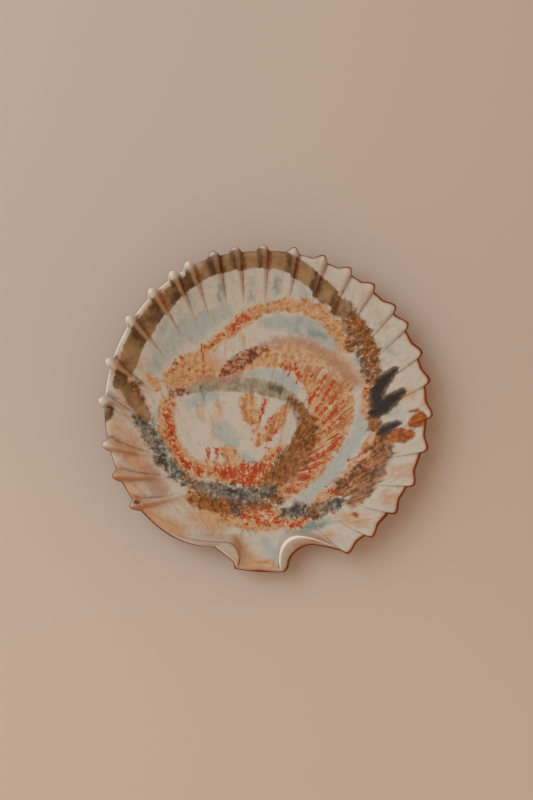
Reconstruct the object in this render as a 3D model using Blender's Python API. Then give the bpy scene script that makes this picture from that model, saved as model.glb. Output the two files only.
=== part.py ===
"""A hand-built scallop dish in glazed stoneware: one piece of clay, lying on its foot, hollow side up.

The dish is spun as a closed plate and every point of it is then moved to its place on the shell: a shallow
bowl, a rim pinched into slanting pleats that fan out from the shell's beak, and at the low end a short open
neck between two folded ears. Metres, +Z up, the foot's centre at the origin, the neck towards -Y.
"""

import math
from dataclasses import dataclass

import bmesh
import bpy
from mathutils import Vector

# Rim and bowl
RIM_RADIUS = 0.158  # from the foot's centre to the tips of the pleats
RIGHT_SWELL = 0.0025  # the hand-made outline is this much fuller low on the right
RIGHT_SWELL_DIRECTION = math.radians(-15)
LEFT_SWELL = 0.0027  # and this much on the left
LEFT_SWELL_DIRECTION = math.radians(165)
LEFT_SWELL_START = 0.3  # cosine of the angle from there at which the left swell begins
LEFT_SWELL_CHANGE = 0.35  # and how soon it is full
BOWL_DEPTH = 0.036  # from the floor up to the hollows of the rim
BOWL_CURVE = 2.0  # how late the wall turns up
FLAT_RADIUS = 0.052  # the level middle of the floor
FLARE_WIDTH = 0.016  # the lip lies flatter over this width on the bold side
FLARE_DROP = 0.004

# Clay
WALL = 0.0062
LIP_THICKNESS = 0.0038
LIP_TAPER = 0.022  # the wall thins to the lip over this width
STEEPEST_WALL = 2.4  # the clay is never more than this many walls thick, measured upright
LIP_ROUND = 0.0026  # the rounded edge stands out this far beyond its crest
BOLD_LIP_ROUND = 0.0042  # and this far on the bold side
LIP_FALL = 0.0012  # and comes down this much
LIP_CURVE = 1.6  # how late the rounded edge turns down
FOOT_RADIUS = 0.055
FOOT_HEIGHT = 0.0025
FOOT_CHAMFER = 0.0012

# Pleats: the crest of each one in degrees anticlockwise from +X, going clockwise round the dish
RIDGE_ANGLES = (216, 204, 192.5, 177, 163, 146.5, 134, 124.5, 118, 108.5, 100.5, 90.5, 79.5)
RIDGE_ANGLES += (69, 59, 49, 38.5, 31, 20, 10, -2, -14, -27, -38.5, -50, -60)
BOLD_DIRECTION = math.radians(145)  # the side where the pleats stand up like cords
BOLD_SPREAD = 0.62  # how soon the bold side turns into the faint one
BOLD_HEIGHT = 0.0078
FAINT_HEIGHT = 0.0034
BOLD_LENGTH = 0.055
FAINT_LENGTH = 0.042
BOLD_FOLD = 0.0056  # the fold from a crest down to the next hollow
FAINT_FOLD = 0.0052
CORD_WIDTH = 0.0078  # the slope up to a crest on the bold side
SLOPE_SHARE = 0.72  # and on the faint side, as a share of the pleat
END_PLEAT = 0.020  # a pleat with a plain edge on one side counts as this wide
INNER_WIDTH = 0.4  # a ridge tapers to this share of its width
RIDGE_FADE = 1.4
BOLD_INSET = 0.0052  # the lip in a hollow lies this far inside the tips
FAINT_INSET = 0.0046
TIP_SHARE = 0.55  # the part of a ridge's height that is left at its rounded tip
BACK_SHARE = 0.5  # the part of a ridge's height that shows on the back

# Neck and ears, seen from above
NECK_X = -0.006
NECK_WIDTH = 0.0388  # between the crests of the two ears
TAB_SPREAD = 0.001  # the tab widens by this much on each side
TAB_CORNER = 0.003  # its rounded corners stand out this much more
TAB_INSET = 0.0005  # its end lies this far inside the rim circle
TAB_SLANT = 0.003  # and its left end is this much shorter
TAB_BOW = 0.0015
LEFT_NOTCH_DEPTH = 0.0297  # from the rim circle up to the crest of the notch
LEFT_NOTCH_RADIUS = 0.0127
RIGHT_NOTCH_DEPTH = 0.0355
RIGHT_NOTCH_RADIUS = 0.0195
EAR_STRAIGHT = 0.008  # between the right notch and the tab; half of it on the left
EDGE_ROLL = 0.0046  # width of the rolled lip along the plain edges
LEFT_EDGE_START = 0.0117  # the plain edge ends this far before the first pleat
RIGHT_FOLD = Vector((0.65, -0.5))  # from a notch to the ear's outer edge, in radii of the notch
RIGHT_SKIRT = Vector((0.5, -0.1))  # and from the ear's straight side
LEFT_FOLD = Vector((-1.0, 0.0))
LEFT_SKIRT = Vector((-0.52, -0.3))

# Neck and ears, heights
EAR_HEIGHT = 0.0425  # crest of the ears above the table
TAB_HEIGHT = 0.032  # crest of the tab's end above the table
NECK_DROP = 0.012  # the floor of the neck lies this much under the bowl's own curve
NECK_RAMP = 0.045  # it gets there over this length
EAR_FALL = 0.0115  # an ear comes down this much outside its crest
EAR_WALL = 0.0085  # width of an ear's inner wall
EDGE_WALL = 0.026
EAR_SLOPE = 0.6  # the ears come down by this share of their height on the way to the tab
LEFT_EAR_FALL = 0.7  # the left ear's fall as a share of the right one's

# Bends of the plain edges: where the two middle control points stand from the ends of each curve
LOW_RIGHT_BEND = ((-0.012, 0.004), (0.018, -0.001))
LOW_RIGHT_LIP_BEND = ((-0.012, 0.003), (0.012, -0.001))
RIGHT_NOTCH_LIP_BEND = ((-0.010, 0.0), (0.0, 0.010))
RIGHT_EAR_BEND = ((0.0, -0.003), (0.001, 0.002))
RIGHT_EAR_LIP_BEND = ((-0.001, -0.003), (0.003, 0.0))
LEFT_EAR_BEND = ((0.0, 0.002), (0.0, -0.002))
LEFT_EAR_LIP_BEND = ((-0.002, 0.001), (0.002, -0.001))
LOW_LEFT_BEND = ((-0.034, 0.0), (0.022, -0.024))
LOW_LEFT_LIP_BEND = ((-0.022, -0.001), (0.024, -0.026))

# Mesh
FAN_DEPTH = 0.066  # from the rim circle up to the point that the pleats run towards
FAN_REACH = 0.11  # they head for it over about this length
NEAREST_FAN = 0.7  # but no more than this share of the way
KNOB_FADE = 14  # how soon a column forgets the knob at its end
GUIDE_SHARE = 0.5  # the neck's columns run in from half way between their crests and an even circle
FOLD_COLUMNS = (0.0, 0.4, 0.75, 1.0)  # places of a pleat's columns, as shares of its fold
SLOPE_COLUMNS = (1.0, 0.7, 0.35)  # and of its slope
LOW_RIGHT_STEPS = 6
NOTCH_STEPS = 7
EAR_STEPS = 3
TAB_STEPS = 6
LOW_LEFT_STEPS = 11
LAST_COLUMNS = (1.0, 0.7, 0.45, 0.2)  # shares of the way from the plain edge to the first pleat
TOP_ROWS = (0.8, 0.62, 0.47, 0.36, 0.27, 0.20, 0.145, 0.105, 0.075, 0.05, 0.03, 0.013, 0.0)
TOP_ROLL = (0.6, 1.0)
BACK_ROLL = (0.7,)
BACK_ROWS = (0.0, 0.03, 0.065, 0.11, 0.17, 0.25, 0.36)
SLOPE_STEP = 0.01  # the wall's slope is measured over this much of its path

FLOOR_TOP = FOOT_HEIGHT + WALL
FAN_POINT = Vector((NECK_X, FAN_DEPTH - RIM_RADIUS))
CENTRE = Vector((0, 0))
FOOT_RINGS = (
    (FOOT_RADIUS + FOOT_CHAMFER, FOOT_HEIGHT),
    (FOOT_RADIUS, FOOT_CHAMFER),
    (FOOT_RADIUS - FOOT_CHAMFER, 0.0),
)
GLAZE_COLOUR = (0.60, 0.47, 0.35, 1)


def ease(t):
    """0 to 1 with a soft start and end."""
    t = min(max(t, 0.0), 1.0)
    return t * t * (3 - 2 * t)


def mix(a, b, t):
    return a + (b - a) * t


def polar(angle, radius):
    return Vector((math.cos(angle), math.sin(angle))) * radius


def bezier(points, t):
    """A point on the Bezier curve of these control points."""
    while len(points) > 1:
        points = [mix(a, b, t) for a, b in zip(points, points[1:])]
    return points[0]


def bent(start, bend, end):
    """Control points of a curve between two points, with its middle ones this far from them."""
    return [start, start + Vector(bend[0]), end + Vector(bend[1]), end]


def rounded(distance):
    """The section of a rounded cord, 1 on its crest and 0 at this distance of 1 from it."""
    return math.sqrt(ease(1 - distance))


def quarter_circle(hub, start, end):
    """Control points of a quarter circle about a hub, from one spoke to another."""
    pull = 0.5523
    return [hub + start, hub + start + end * pull, hub + end + start * pull, hub + end]


def boldness(angle):
    """1 where the pleats are cords, 0 on the far side."""
    return ease(0.5 + BOLD_SPREAD * math.cos(angle - BOLD_DIRECTION))


def tip_radius(angle):
    """Radius of the outline through the tips of the pleats."""
    right = ease(math.cos(angle - RIGHT_SWELL_DIRECTION))
    left = ease((math.cos(angle - LEFT_SWELL_DIRECTION) - LEFT_SWELL_START) / LEFT_SWELL_CHANGE)
    return RIM_RADIUS + RIGHT_SWELL * right + LEFT_SWELL * left


def fold_width(angle):
    return mix(FAINT_FOLD, BOLD_FOLD, boldness(angle))


def slope_width(angle, gap):
    """Width of the slope that climbs to a crest, in a pleat this wide."""
    return mix(min(SLOPE_SHARE * gap, gap - FAINT_FOLD), CORD_WIDTH, boldness(angle))


def bowl_height(point):
    """Height of the bowl's smooth inside over a plan point, without pleats or ears."""
    radius = point.length
    climb = max(0.0, (radius - FLAT_RADIUS) / (RIM_RADIUS - FLAT_RADIUS))
    height = FLOOR_TOP + BOWL_DEPTH * climb**BOWL_CURVE
    bold = boldness(math.atan2(point.y, point.x))
    height -= FLARE_DROP * bold * ease((radius - RIM_RADIUS + FLARE_WIDTH) / FLARE_WIDTH) ** 2
    across_neck = math.exp(-(((point.x - NECK_X) / (0.5 * NECK_WIDTH)) ** 4))
    along_neck = ease((-point.y - RIM_RADIUS + NECK_RAMP) / NECK_RAMP)
    return height - NECK_DROP * across_neck * along_neck


@dataclass
class Pleat:
    """Where a column stands in its pleat."""

    after: float  # distance round the rim from the crest behind
    before: float  # and to the crest ahead
    angle: float

    def ridge(self, depth):
        """Height of the ridges here, 0 to 1, this deep inside the rim."""
        bold = boldness(self.angle)
        share = min(depth / mix(FAINT_LENGTH, BOLD_LENGTH, bold), 1.0)
        width = mix(1.0, INNER_WIDTH, share)
        gap = min(self.after + self.before, END_PLEAT)
        fold = rounded(self.after / (fold_width(self.angle) * width))
        climb = self.before / (slope_width(self.angle, gap) * width)
        slope = mix(ease(1 - climb), rounded(climb), bold)
        return max(fold, slope) * (1 - share) ** RIDGE_FADE

    def height(self):
        return mix(FAINT_HEIGHT, BOLD_HEIGHT, boldness(self.angle))


@dataclass
class Column:
    """One column of the dish, from the middle out over the rim."""

    crest: Vector
    lip: Vector
    knob: Vector = CENTRE  # how far the crest stands out beyond the hollows of the rim
    guide: Vector = CENTRE  # the point of a smooth outline that the column runs in from
    lift: float = 0.0  # of the crest above the bowl's own curve
    fall: float = LIP_FALL
    wall: float = EDGE_WALL
    pleat: Pleat = None

    def path(self, along):
        """The plan point this far along, 0 on the crest and 1 in the middle of the dish."""
        to_fan = FAN_POINT - self.guide
        inner = self.guide + to_fan * min(FAN_REACH / to_fan.length, NEAREST_FAN)
        return bezier([self.crest - self.knob, inner, CENTRE], along) + self.knob * (1 - along) ** KNOB_FADE

    def height(self, along, ridge_share):
        """Height of the inside, with this share of the ridges."""
        point = self.path(along)
        depth = (point - self.crest).length
        height = bowl_height(point) + self.lift * ease(1 - depth / self.wall)
        if self.pleat:
            height += ridge_share * self.pleat.height() * self.pleat.ridge(depth)
        return height

    def clay(self, along):
        """Thickness of the clay measured upright."""
        point = self.path(along)
        inner = self.path(min(along + SLOPE_STEP, 1.0))
        run = max((point - inner).length, 0.001)
        slope = (self.height(along, 0.0) - self.height(along + SLOPE_STEP, 0.0)) / run
        thickness = mix(LIP_THICKNESS, WALL, ease((point - self.crest).length / LIP_TAPER))
        return thickness * min(math.hypot(1, slope), STEEPEST_WALL)

    def rolled_height(self, share, ridge_share):
        """Height between the crest, share 0, and the outer edge, share 1."""
        tip = 0.0
        if self.pleat:
            tip = ridge_share * (1 - TIP_SHARE) * self.pleat.height() * self.pleat.ridge(0.0)
        return self.height(0.0, ridge_share) - (self.fall + tip) * share**LIP_CURVE

    def points(self):
        """The column's points from the middle of the inside round the lip to the middle of the foot."""
        yield Vector((0, 0, FLOOR_TOP))
        for along in TOP_ROWS:
            yield self.path(along).to_3d() + Vector((0, 0, self.height(along, 1.0)))
        for share in TOP_ROLL:
            yield mix(self.crest, self.lip, share).to_3d() + Vector((0, 0, self.rolled_height(share, 1.0)))
        for share in BACK_ROLL:
            height = self.rolled_height(share, BACK_SHARE) - LIP_THICKNESS
            yield mix(self.crest, self.lip, share).to_3d() + Vector((0, 0, height))
        for along in BACK_ROWS:
            height = self.height(along, BACK_SHARE) - self.clay(along)
            yield self.path(along).to_3d() + Vector((0, 0, height))
        outward = self.path(BACK_ROWS[-1]).normalized()
        for radius, height in FOOT_RINGS:
            yield (outward * radius).to_3d() + Vector((0, 0, height))
        yield Vector((0, 0, 0))


def pleated_column(ridge_angle, after, before):
    """A column this far round the rim after one ridge, with the next ridge ahead."""
    angle = ridge_angle - after / RIM_RADIUS
    pleat = Pleat(after, before, angle)
    inset = mix(FAINT_INSET, BOLD_INSET, boldness(angle))
    knob = inset * pleat.ridge(0.0)
    radius = tip_radius(angle) - inset + knob
    crest_radius = radius - mix(LIP_ROUND, BOLD_LIP_ROUND, boldness(angle))
    guide = polar(angle, crest_radius - knob)
    return Column(polar(angle, crest_radius), polar(angle, radius), polar(angle, knob), guide, pleat=pleat)


def pleated_columns():
    """The pleated arc, clockwise from the first ridge to the foot of the last one's fold."""
    angles = [math.radians(degrees) for degrees in RIDGE_ANGLES]
    for ridge, following in zip(angles, angles[1:]):
        gap = (ridge - following) * RIM_RADIUS
        fold = fold_width(ridge)
        slope = slope_width(following, min(gap, END_PLEAT))
        for share in FOLD_COLUMNS:
            yield pleated_column(ridge, share * fold, gap - share * fold)
        for share in SLOPE_COLUMNS:
            yield pleated_column(ridge, gap - share * slope, share * slope)
    for share in FOLD_COLUMNS[:-1]:
        yield pleated_column(angles[-1], share * FAINT_FOLD, END_PLEAT)


def edge_columns(steps, crest, lip, heights, falls, walls):
    """Columns of a plain stretch of rim between two control polygons, up to but not with its end."""
    columns = []
    for i in range(steps):
        t = i / steps
        point = bezier(crest, t)
        lift = mix(*heights, ease(t)) - bowl_height(point)
        fall, wall = mix(*falls, ease(t)), mix(*walls, ease(t))
        columns.append(Column(point, bezier(lip, t), lift=lift, fall=fall, wall=wall))
    return columns


def neck_columns():
    """The plain rim, clockwise: lower right edge, right ear, tab, left ear, lower left edge."""
    first_ridge, last_ridge = (math.radians(RIDGE_ANGLES[i]) for i in (0, -1))
    start = pleated_column(last_ridge, FAINT_FOLD, END_PLEAT)
    end = pleated_column(first_ridge + END_PLEAT / RIM_RADIUS, END_PLEAT - LEFT_EDGE_START, LEFT_EDGE_START)
    right_x, left_x = (NECK_X + side * 0.5 * NECK_WIDTH for side in (1, -1))

    right_hub = Vector((right_x + RIGHT_NOTCH_RADIUS, RIGHT_NOTCH_DEPTH - RIM_RADIUS - RIGHT_NOTCH_RADIUS))
    right_arc = quarter_circle(right_hub, Vector((0, RIGHT_NOTCH_RADIUS)), Vector((-RIGHT_NOTCH_RADIUS, 0)))
    right_low = Vector((right_x, right_hub.y - EAR_STRAIGHT))
    right_fold = right_arc[0] + RIGHT_FOLD * RIGHT_NOTCH_RADIUS
    right_skirt = right_low + RIGHT_SKIRT * RIGHT_NOTCH_RADIUS

    left_hub = Vector((left_x - LEFT_NOTCH_RADIUS, LEFT_NOTCH_DEPTH - RIM_RADIUS - LEFT_NOTCH_RADIUS))
    left_arc = quarter_circle(left_hub, Vector((LEFT_NOTCH_RADIUS, 0)), Vector((0, LEFT_NOTCH_RADIUS)))
    left_low = Vector((left_x, left_hub.y - 0.5 * EAR_STRAIGHT))
    left_fold = left_arc[-1] + LEFT_FOLD * LEFT_NOTCH_RADIUS + Vector((0, -EDGE_ROLL))
    left_skirt = left_low + LEFT_SKIRT * LEFT_NOTCH_RADIUS

    tab_right = Vector((right_x + TAB_SPREAD, TAB_INSET - RIM_RADIUS))
    tab_left = Vector((left_x - TAB_SPREAD, TAB_INSET + TAB_SLANT - RIM_RADIUS))
    bow = Vector((0, -TAB_BOW))
    tab_middle = [mix(tab_right, tab_left, share) + bow for share in (1 / 3, 2 / 3)]
    tab_end = [tab_right] + tab_middle + [tab_left]
    corners = [Vector((side * TAB_CORNER, -0.5 * LIP_ROUND)) for side in (1, 1, -1, -1)]
    tab_lip = [point + corner for point, corner in zip(tab_end, corners)]

    middle_height = mix(EAR_HEIGHT, TAB_HEIGHT, EAR_SLOPE)
    left_fall = LEFT_EAR_FALL * EAR_FALL
    columns = []
    columns += edge_columns(
        LOW_RIGHT_STEPS,
        bent(start.crest, LOW_RIGHT_BEND, right_arc[0]),
        bent(start.lip, LOW_RIGHT_LIP_BEND, right_fold),
        (bowl_height(start.crest), EAR_HEIGHT),
        (LIP_FALL, EAR_FALL),
        (EDGE_WALL, EAR_WALL),
    )
    columns += edge_columns(
        NOTCH_STEPS,
        right_arc + [right_low],
        bent(right_fold, RIGHT_NOTCH_LIP_BEND, right_skirt),
        (EAR_HEIGHT, middle_height),
        (EAR_FALL, left_fall),
        (EAR_WALL, EAR_WALL),
    )
    columns += edge_columns(
        EAR_STEPS,
        bent(right_low, RIGHT_EAR_BEND, tab_right),
        bent(right_skirt, RIGHT_EAR_LIP_BEND, tab_lip[0]),
        (middle_height, TAB_HEIGHT),
        (left_fall, LIP_FALL),
        (EAR_WALL, EAR_WALL),
    )
    columns += edge_columns(
        TAB_STEPS,
        tab_end,
        tab_lip,
        (TAB_HEIGHT, TAB_HEIGHT),
        (LIP_FALL, LIP_FALL),
        (EAR_WALL, EAR_WALL),
    )
    columns += edge_columns(
        EAR_STEPS,
        bent(tab_left, LEFT_EAR_BEND, left_low),
        bent(tab_lip[-1], LEFT_EAR_LIP_BEND, left_skirt),
        (TAB_HEIGHT, middle_height),
        (LIP_FALL, left_fall),
        (EAR_WALL, EAR_WALL),
    )
    columns += edge_columns(
        NOTCH_STEPS,
        [left_low] + left_arc,
        [left_skirt, left_fold],
        (middle_height, EAR_HEIGHT),
        (left_fall, left_fall),
        (EAR_WALL, EAR_WALL),
    )
    columns += edge_columns(
        LOW_LEFT_STEPS,
        bent(left_arc[-1], LOW_LEFT_BEND, end.crest),
        bent(left_fold, LOW_LEFT_LIP_BEND, end.lip),
        (EAR_HEIGHT, bowl_height(end.crest)),
        (left_fall, LIP_FALL),
        (EAR_WALL, EDGE_WALL),
    )
    first_angle = last_ridge - FAINT_FOLD / RIM_RADIUS
    last_angle = first_ridge + LEFT_EDGE_START / RIM_RADIUS - math.tau
    for i, column in enumerate(columns):
        even = polar(mix(first_angle, last_angle, i / len(columns)), RIM_RADIUS)
        column.guide = mix(column.crest, even, GUIDE_SHARE)
    yield from columns
    for share in LAST_COLUMNS:
        before = LEFT_EDGE_START * share
        yield pleated_column(first_ridge + END_PLEAT / RIM_RADIUS, END_PLEAT - before, before)


def spun_plate(columns):
    """A plain round plate with the dish's columns and rows, as a spin of its section."""
    section = [Vector((point.to_2d().length, 0, point.z)) for point in next(iter(columns)).points()]
    mesh = bmesh.new()
    row_layer = mesh.verts.layers.int.new("row")
    verts = [mesh.verts.new(point) for point in section]
    for row, vert in enumerate(verts):
        vert[row_layer] = row
    edges = [mesh.edges.new(pair) for pair in zip(verts, verts[1:])]
    bmesh.ops.spin(
        mesh,
        geom=verts + edges,
        axis=(0, 0, -1),
        cent=(0, 0, 0),
        angle=math.tau,
        steps=len(columns),
        use_merge=True,
    )
    bmesh.ops.remove_doubles(mesh, verts=mesh.verts, dist=0.00001)
    return mesh, row_layer


def shape_dish():
    """The dish's mesh: each point of the spun plate goes to its own column and row."""
    columns = list(pleated_columns()) + list(neck_columns())
    places = [list(column.points()) for column in columns]
    mesh, row_layer = spun_plate(columns)
    step = math.tau / len(columns)
    for vert in mesh.verts:
        turn = math.atan2(-vert.co.y, vert.co.x) % math.tau
        vert.co = places[round(turn / step) % len(columns)][vert[row_layer]]
    bmesh.ops.reverse_faces(mesh, faces=mesh.faces)
    return mesh


def main():
    for old in list(bpy.context.scene.objects):
        bpy.data.objects.remove(old, do_unlink=True)
    glaze = bpy.data.materials.new("glaze")
    glaze.use_nodes = True
    shader = glaze.node_tree.nodes["Principled BSDF"]
    shader.inputs["Base Color"].default_value = GLAZE_COLOUR
    shader.inputs["Roughness"].default_value = 0.25
    glaze.diffuse_color = GLAZE_COLOUR

    mesh = shape_dish()
    data = bpy.data.meshes.new("shell_dish")
    mesh.to_mesh(data)
    mesh.free()
    data.materials.append(glaze)
    data.shade_smooth()
    dish = bpy.data.objects.new("shell_dish", data)
    collection = bpy.data.collections.new("shell_dish")
    bpy.context.scene.collection.children.link(collection)
    collection.objects.link(dish)


main()
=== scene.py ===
"""A hand-built scallop dish with a reactive glaze, lying on a pale floor under soft light."""

import math

import bmesh
import bpy
import numpy as np
from bpy.props import FloatProperty, FloatVectorProperty, IntProperty, PointerProperty
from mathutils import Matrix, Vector


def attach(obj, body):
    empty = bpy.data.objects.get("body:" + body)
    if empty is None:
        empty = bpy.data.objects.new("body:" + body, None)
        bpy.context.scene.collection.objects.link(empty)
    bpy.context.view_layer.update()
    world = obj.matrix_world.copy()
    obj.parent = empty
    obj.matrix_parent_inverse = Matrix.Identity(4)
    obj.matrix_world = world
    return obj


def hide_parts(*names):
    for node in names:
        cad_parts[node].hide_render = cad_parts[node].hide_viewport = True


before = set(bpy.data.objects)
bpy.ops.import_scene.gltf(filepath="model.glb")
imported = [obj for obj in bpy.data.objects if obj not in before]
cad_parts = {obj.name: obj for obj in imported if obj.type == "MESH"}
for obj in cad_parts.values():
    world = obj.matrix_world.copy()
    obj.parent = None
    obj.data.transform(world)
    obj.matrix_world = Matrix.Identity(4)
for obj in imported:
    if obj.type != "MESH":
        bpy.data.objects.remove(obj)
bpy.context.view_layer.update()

bl_info = {
    "name": "Shell dish",
    "version": (1, 0, 0),
    "blender": (4, 5, 0),
    "location": "3D View > Sidebar > Shell dish",
    "description": "Models a hand-built scallop dish and paints its reactive glaze",
    "category": "Add Mesh",
}

# The camera's place, the height above the floor at which the glaze's fields are drawn in their true size, and
# half the height of what the camera sees there, in metres
CAMERA = (0.001, 0.0086, 1.07)
DRAWING_HEIGHT = 0.043
FRAME_HALF_HEIGHT = 0.384

# The soft lamp in metres, and the linear colours of its light and of the light from all round
KEY_PLACE = (-1.0, 0.62, 1.75)
KEY_TARGET = (0, 0, 0.03)
KEY_WIDTH = 1.3
KEY_COLOUR = (0.54, 0.8, 1.0)
SKY_COLOUR = (1.0, 0.765, 0.595)


def shade(red, green, blue):
    """A linear colour from the 0 to 255 values that a screen shows, by the sRGB curve."""
    parts = [part / 255 for part in (red, green, blue)]
    return tuple(part / 12.92 if part < 0.04045 else ((part + 0.055) / 1.055) ** 2.4 for part in parts)


def length(name, description, default):
    """A length in metres that a user may change."""
    look = {"unit": "LENGTH", "subtype": "DISTANCE", "precision": 4}
    return FloatProperty(name=name, description=description, default=default, min=0.0, **look)


def colour(name, description, red, green, blue):
    """A colour that a user may change, given as a screen shows it."""
    return FloatVectorProperty(
        name=name, description=description, default=shade(red, green, blue), min=0.0, max=1.0, subtype="COLOR"
    )


class ShellDishSizes(bpy.types.PropertyGroup):
    """Sizes of the dish."""

    rim_radius: length("Rim radius", "From the foot's centre to the tips of the pleats", 0.158)
    bowl_depth: length("Bowl depth", "From the floor up to the hollows of the rim", 0.036)
    flat_radius: length("Flat radius", "The level middle of the floor", 0.052)
    wall: length("Wall", "Thickness of the clay in the floor", 0.0062)
    lip_thickness: length("Lip thickness", "Thickness of the clay at the rim", 0.0038)
    foot_radius: length("Foot radius", "Outside of the foot", 0.055)
    foot_height: length("Foot height", "Height of the foot under the bowl", 0.0025)
    bold_height: length("Bold pleats", "Height of the pleats that stand up like cords", 0.0078)
    faint_height: length("Faint pleats", "Height of the pleats on the other side", 0.0034)
    bold_length: length("Bold pleat length", "How far the bold pleats run in from the rim", 0.055)
    faint_length: length("Faint pleat length", "How far the faint pleats run in from the rim", 0.042)
    neck_width: length("Neck width", "Between the crests of the two ears", 0.0388)
    ear_height: length("Ear height", "Crest of the ears above the table", 0.0425)
    tab_height: length("Tab height", "Crest of the neck's end above the table", 0.032)
    rows: IntProperty(name="Rows", description="Rows of faces from the middle to the rim", default=58, min=12)


class ShellDishColours(bpy.types.PropertyGroup):
    """Colours of the glaze, the clay and the floor."""

    cream: colour("Cream", "The glaze where it is thick and plain", 186, 171, 153)
    warm_cream: colour("Warm cream", "The glaze where it is thinner", 178, 148, 122)
    # Pale is also laid on the knobs of the left pleats as a painted highlight
    pale: colour("Pale", "The knobs of the pleats, where the glaze is whitest", 208, 198, 184)
    highlight: colour("Highlight", "The crest of the right ear", 232, 224, 212)
    cord: colour("Cord", "The crests of the pleats, where the glaze runs thin", 176, 138, 106)
    pale_blue: colour("Pale blue", "Thick milky glaze", 160, 158, 146)
    deep_blue: colour("Deep blue", "The same glaze where it is thinner", 118, 124, 116)
    orange: colour("Orange", "Iron in the glaze", 188, 143, 100)
    deep_orange: colour("Deep orange", "More iron in the glaze", 162, 92, 34)
    red: colour("Red", "Dense iron in short streaks", 172, 60, 18)
    dark_red: colour("Dark red", "The darkest part of the red streaks", 100, 40, 16)
    grey: colour("Grey", "The plain grey band", 152, 132, 106)
    deep_grey: colour("Deep grey", "The darker dabs of the grey band", 124, 108, 82)
    umber: colour("Umber", "Smooth brown along the bands' edges", 160, 96, 42)
    deep_umber: colour("Deep umber", "The same where it is thicker", 88, 56, 28)
    maroon: colour("Maroon", "The mottled band over the middle", 150, 84, 52)
    deep_maroon: colour("Deep maroon", "Its darker specks", 96, 46, 28)
    pink: colour("Pink", "The haze at the end of the maroon band", 158, 112, 86)
    brown: colour("Brown", "The pools between the pleats", 156, 118, 80)
    deep_brown: colour("Deep brown", "The pools where they are deepest", 88, 58, 32)
    olive: colour("Olive", "Mottled brown", 158, 92, 36)
    deep_olive: colour("Deep olive", "Its darker specks", 78, 48, 20)
    slate: colour("Slate", "Dark grey-green bands", 124, 120, 106)
    deep_slate: colour("Deep slate", "Their darker specks", 56, 48, 38)
    black: colour("Black", "The brushed marks on the right", 40, 32, 24)
    iron: colour("Iron", "Bare iron along the rim and in the creases", 132, 58, 24)
    honey: colour("Honey", "The glaze under the dish", 176, 116, 72)
    clay: colour("Clay", "The bare clay of the foot", 158, 122, 92)
    floor: colour("Floor", "The plain floor", 184, 163, 145)


class ShellDishLight(bpy.types.PropertyGroup):
    """Light and camera of the stage."""

    key: FloatProperty(name="Key", description="Power of the soft lamp", default=28.6, min=0.0, unit="POWER")
    sky: FloatProperty(name="Sky", description="Strength of the light from all round", default=0.69, min=0.0)
    camera_height: length("Camera height", "Height of the camera above the floor", CAMERA[2])


class Value:
    """A socket of a material that can be used in a Python expression: each operator adds its Math node."""

    def __init__(self, tree, socket):
        self.tree = tree
        self.socket = socket

    def calculate(self, operation, *values):
        return add_node(self.tree, "ShaderNodeMath", {"operation": operation}, dict(enumerate(values)))

    def __add__(self, other):
        return self.calculate("ADD", self, other)

    __radd__ = __add__

    def __sub__(self, other):
        return self.calculate("SUBTRACT", self, other)

    def __rsub__(self, other):
        return self.calculate("SUBTRACT", other, self)

    def __mul__(self, other):
        return self.calculate("MULTIPLY", self, other)

    __rmul__ = __mul__

    def __truediv__(self, other):
        return self.calculate("DIVIDE", self, other)


def add_node(tree, kind, settings, values, output=0):
    """Add a node: its settings first, then the values or links of its sockets."""
    node = tree.nodes.new(kind)
    for name, value in settings.items():
        setattr(node, name, value)
    for name, value in values.items():
        if isinstance(value, Value):
            tree.links.new(value.socket, node.inputs[name])
        else:
            node.inputs[name].default_value = value
    return Value(tree, node.outputs[output]) if node.outputs else None


def blend(factor, under, over):
    """One colour laid over another."""
    under, over = (part if isinstance(part, Value) else (*part, 1.0) for part in (under, over))
    sockets = {0: factor, 6: under, 7: over}
    return add_node(factor.tree, "ShaderNodeMix", {"data_type": "RGBA"}, sockets, output=2)


def step(value, low, high):
    """0 below low and 1 above high, with a soft change between them."""
    sockets = {"Value": value, "From Min": low, "From Max": high}
    return add_node(value.tree, "ShaderNodeMapRange", {"interpolation_type": "SMOOTHSTEP"}, sockets)


def read(tree, attribute):
    """A value that is kept on the mesh's vertices."""
    return add_node(tree, "ShaderNodeAttribute", {"attribute_name": attribute}, {}, output="Fac")


def noise(tree, vector, scale, detail=2.0, roughness=0.5, distortion=0.0):
    """Noise between 0 and 1, finer with a larger scale."""
    sockets = {"Vector": vector, "Scale": scale, "Detail": detail, "Roughness": roughness}
    sockets["Distortion"] = distortion
    return add_node(tree, "ShaderNodeTexNoise", {}, sockets)


# Angles of the ridges of the rim, clockwise in degrees, and the direction in which they are boldest
RIDGE_ANGLES = (216, 204, 192.5, 177, 163, 146.5, 134, 124.5, 118, 108.5, 100.5, 90.5, 79.5)
RIDGE_ANGLES += (69, 59, 49, 38.5, 31, 20, 10, -2, -14, -27, -38.5, -50, -60)
BOLD_DIRECTION = math.radians(145)

# The pleats in metres: each has a steep fold after its ridge and then a slope up to the next one, and its knob
# stands out from the rim. Faint and bold pleats differ, and the steps are the columns of faces
END_PLEAT = 0.020
FAINT_FOLD, BOLD_FOLD = 0.0052, 0.0056
BOLD_SLOPE = 0.0078
FAINT_KNOB, BOLD_KNOB = 0.0046, 0.0052
FAINT_CREST, BOLD_CREST = 0.0026, 0.0042
FOLD_STEPS, HOLLOW_STEPS, SLOPE_STEPS = 10, 5, 12

# How much further the rim reaches on the right and the left, and how it dips where the pleats are bold
RIGHT_REACH, LEFT_REACH = 0.0025, 0.0027
FLARE_WIDTH, FLARE_DROP = 0.016, 0.004

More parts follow.
